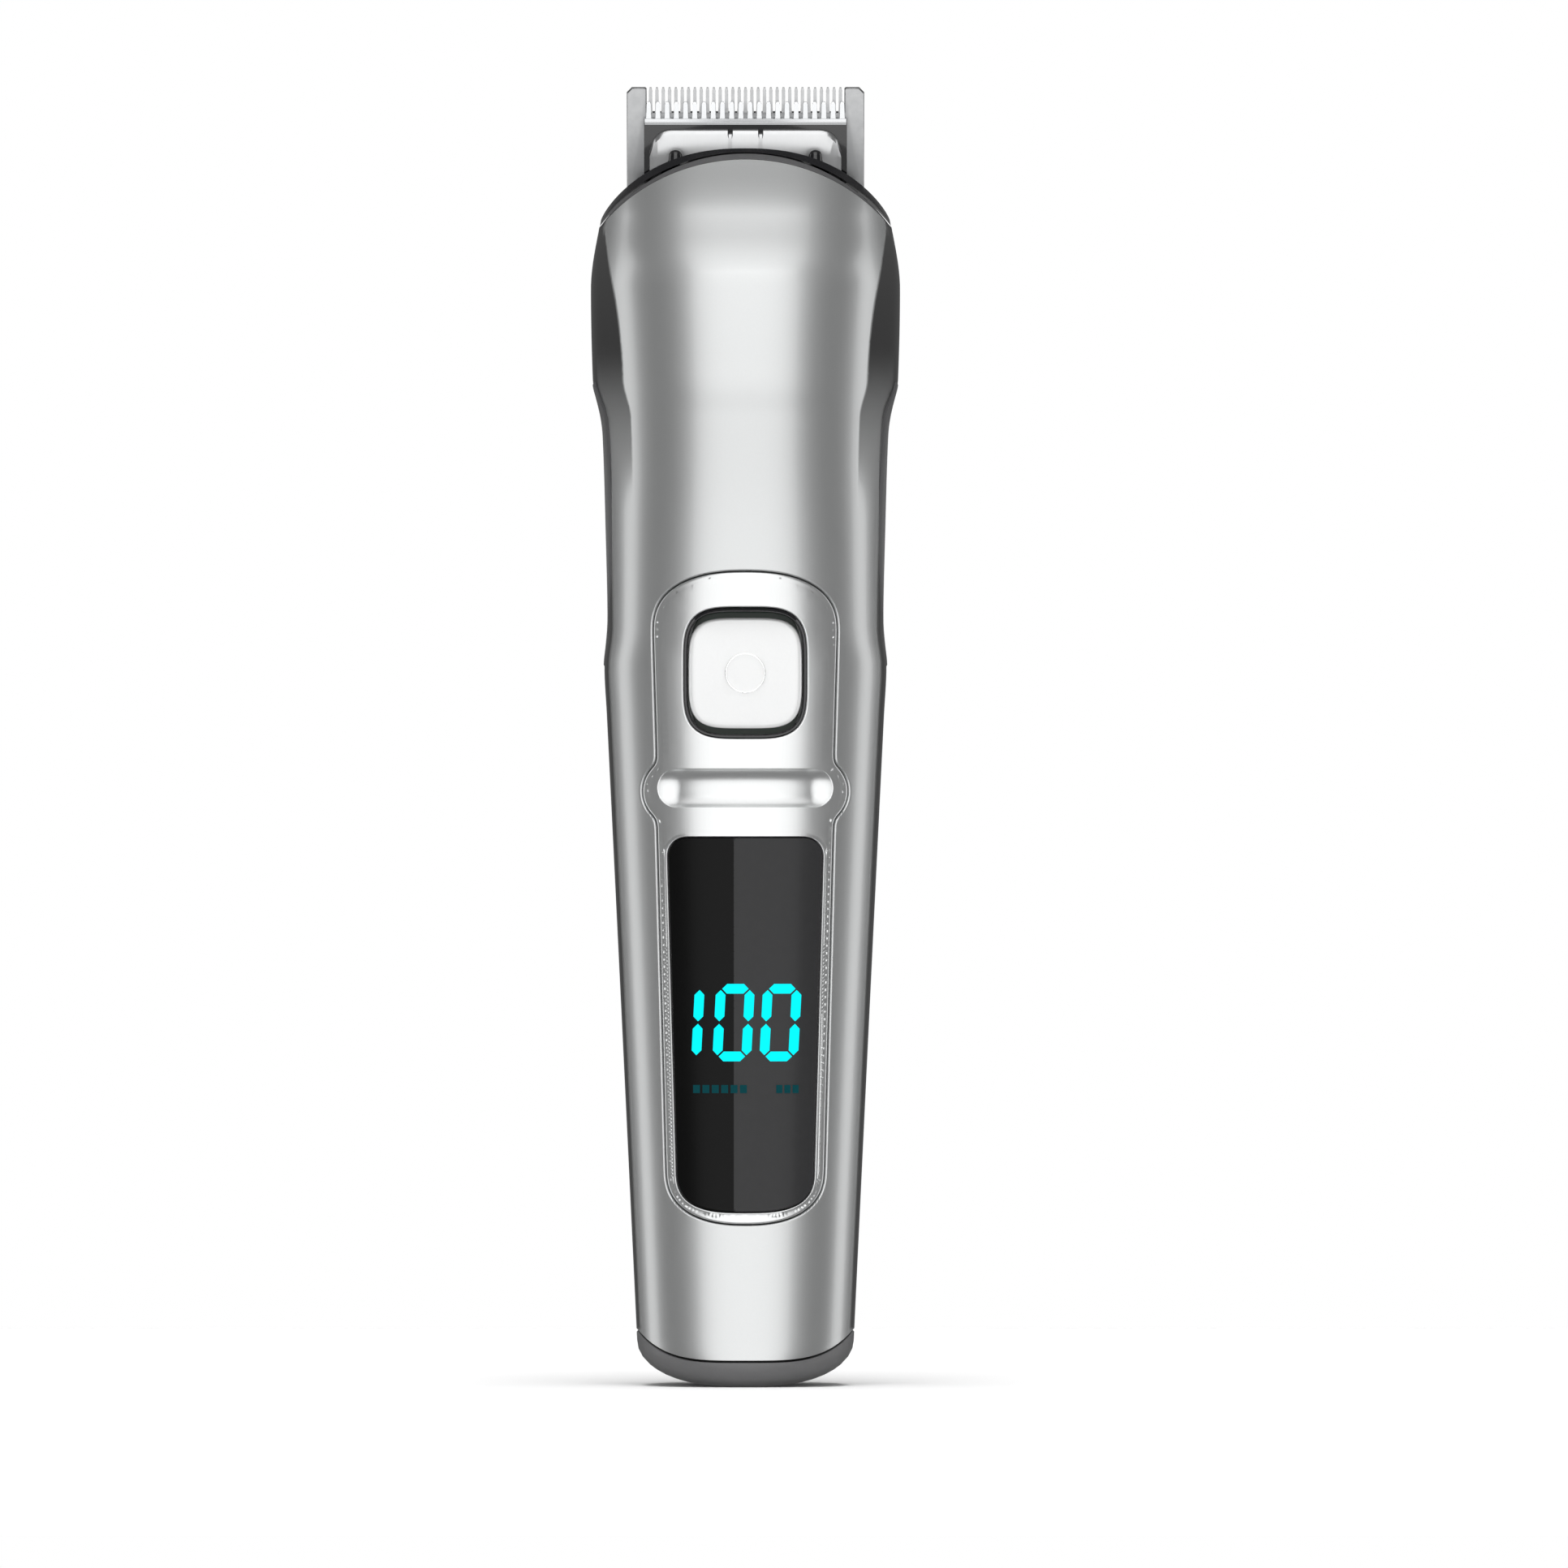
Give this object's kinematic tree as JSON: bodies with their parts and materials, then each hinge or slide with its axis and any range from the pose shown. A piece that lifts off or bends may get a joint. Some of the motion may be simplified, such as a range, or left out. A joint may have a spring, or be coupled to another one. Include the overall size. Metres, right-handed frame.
{
  "type": "beard trimmer",
  "caption": "Cordless beard trimmer with a waisted oval body, squared push button, dark digital display, finger scoop, side grips and a pull-off comb blade head",
  "frame": {"origin": "middle of the box's base, where the flat foot of the end cap rests", "axes": "+Z runs along the body to the blade tips, the front with the button and the display faces -Y, +X is to the right seen from the front"},
  "size_m": [0.0382, 0.043, 0.16],
  "materials": {
    "black_body": "black moulded plastic, gloss",
    "silver_body": "silver metallic lacquer on moulded plastic, satin gloss",
    "silver_panel": "lighter silver metallic lacquer, satin gloss",
    "grip": "dark grey satin soft-touch plastic",
    "rim_grey": "dark grey gloss trim",
    "black_plastic": "black moulded plastic",
    "black_gloss": "black glossy plastic",
    "pearl_button": "pearl white lacquer",
    "window_gloss": "smoked black glossy window",
    "digit_glow": "glowing cyan light guides",
    "white_plastic": "off-white moulded plastic",
    "board": "green solder mask on glass-fibre board",
    "sheet_steel": "drawn plated sheet steel",
    "cell_sleeve": "blue shrink sleeve",
    "nickel": "nickel strip",
    "ferrite": "dark sintered ferrite",
    "copper": "copper alloy",
    "bronze": "sintered bronze",
    "steel": "turned steel",
    "core_steel": "laminated core with copper winding",
    "seal_rubber": "black rubber",
    "blade_steel": "ground stainless steel",
    "cutter_steel": "polished stainless steel",
    "spring_steel": "spring steel strip",
    "light_grey": "light grey satin plate",
    "cap_grey": "dark grey satin plastic"
  },
  "bodies": {
    "handle": {"front_shell": "silver_body", "rear_shell": "black_body", "side_grip_left": "grip", "side_grip_right": "grip", "nose_rim": "rim_grey", "control_panel": "silver_panel", "panel_carrier": "black_plastic", "button_well": "black_gloss", "display_window": "window_gloss", "display_digits": "digit_glow", "display_module": "white_plastic", "main_board": "board", "tact_switch": "sheet_steel", "board_parts": "black_plastic", "charge_board": "board", "usb_socket": "sheet_steel", "usb_tongue": "black_plastic", "battery_cell": "cell_sleeve", "battery_cradle": "black_plastic", "battery_tabs": "nickel", "motor_can": "sheet_steel", "motor_magnets": "ferrite", "motor_end_bell": "white_plastic", "motor_brushes": "copper", "motor_terminals": "copper", "motor_bushes": "bronze", "motor_mount": "black_plastic", "motor_screws": "steel", "top_frame": "black_plastic", "head_seal": "seal_rubber", "end_cap": "cap_grey", "end_cap_seal": "seal_rubber", "housing_screws": "steel"},
    "button": {"power_button": "pearl_button", "button_ring": "pearl_button", "switch_plunger": "black_plastic"},
    "rotor": {"motor_shaft": "steel", "motor_armature": "core_steel", "motor_commutator": "copper", "eccentric_cam": "white_plastic", "drive_pin": "steel"},
    "head": {"head_collar": "black_gloss", "blade_seat": "black_plastic", "fixed_blade": "blade_steel", "blade_screws": "steel", "blade_springs": "spring_steel", "cutter_frame": "black_gloss", "cover_plate": "light_grey"},
    "cutter": {"moving_blade": "cutter_steel", "drive_yoke": "white_plastic"}
  },
  "joints": [
    {"name": "button_press", "type": "slide", "parent": "handle", "child": "button", "axis": [0, 1, 0], "range_m": [0, 0.0006], "stiffness_N_per_m": 400},
    {"name": "rotor_spin", "type": "hinge", "parent": "handle", "child": "rotor", "pos_m": [0, 0.0015, 0.13], "axis": [0, 0, 1], "continuous": true},
    {"name": "head_release", "type": "slide", "parent": "handle", "child": "head", "axis": [0, 0, 1], "range_m": [0, 0.016]},
    {"name": "cutter_stroke", "type": "slide", "parent": "head", "child": "cutter", "axis": [1, 0, 0], "range_m": [-0.00075, 0.00075]}
  ]
}
